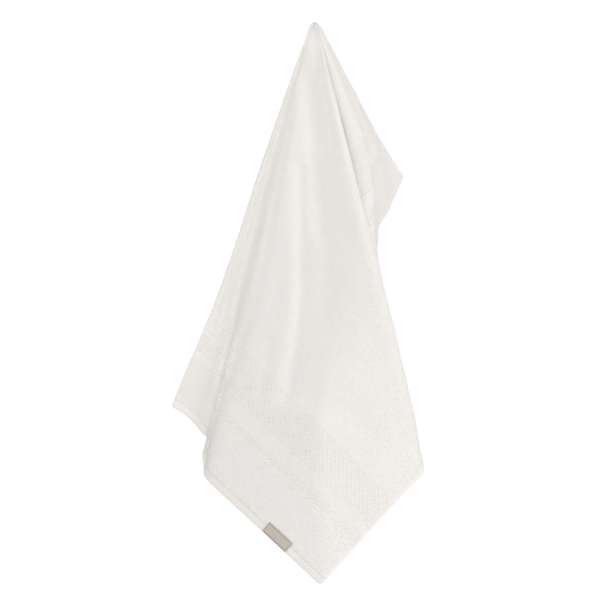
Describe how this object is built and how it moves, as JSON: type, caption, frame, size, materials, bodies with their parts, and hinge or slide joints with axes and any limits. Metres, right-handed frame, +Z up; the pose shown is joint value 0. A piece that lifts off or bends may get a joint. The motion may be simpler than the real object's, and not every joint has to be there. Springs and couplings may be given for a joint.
{
  "type": "hand towel",
  "caption": "Terry hand towel hung from one point on its long edge, draped in deep cone-like folds, with woven borders, turned hems and a small sewn label.",
  "frame": {"origin": "the point on the long edge from which the towel hangs, at the top of its gathered folds", "axes": "+Z up; +X to the right of someone who faces the labelled side; the labelled side faces -Y"},
  "size_m": [0.319, 0.3026, 0.71],
  "materials": {
    "terry_cloth": "matt looped cotton pile",
    "woven_label": "smooth satin weave"
  },
  "bodies": {
    "root": {"towel": "terry_cloth", "label": "woven_label"}
  },
  "joints": []
}
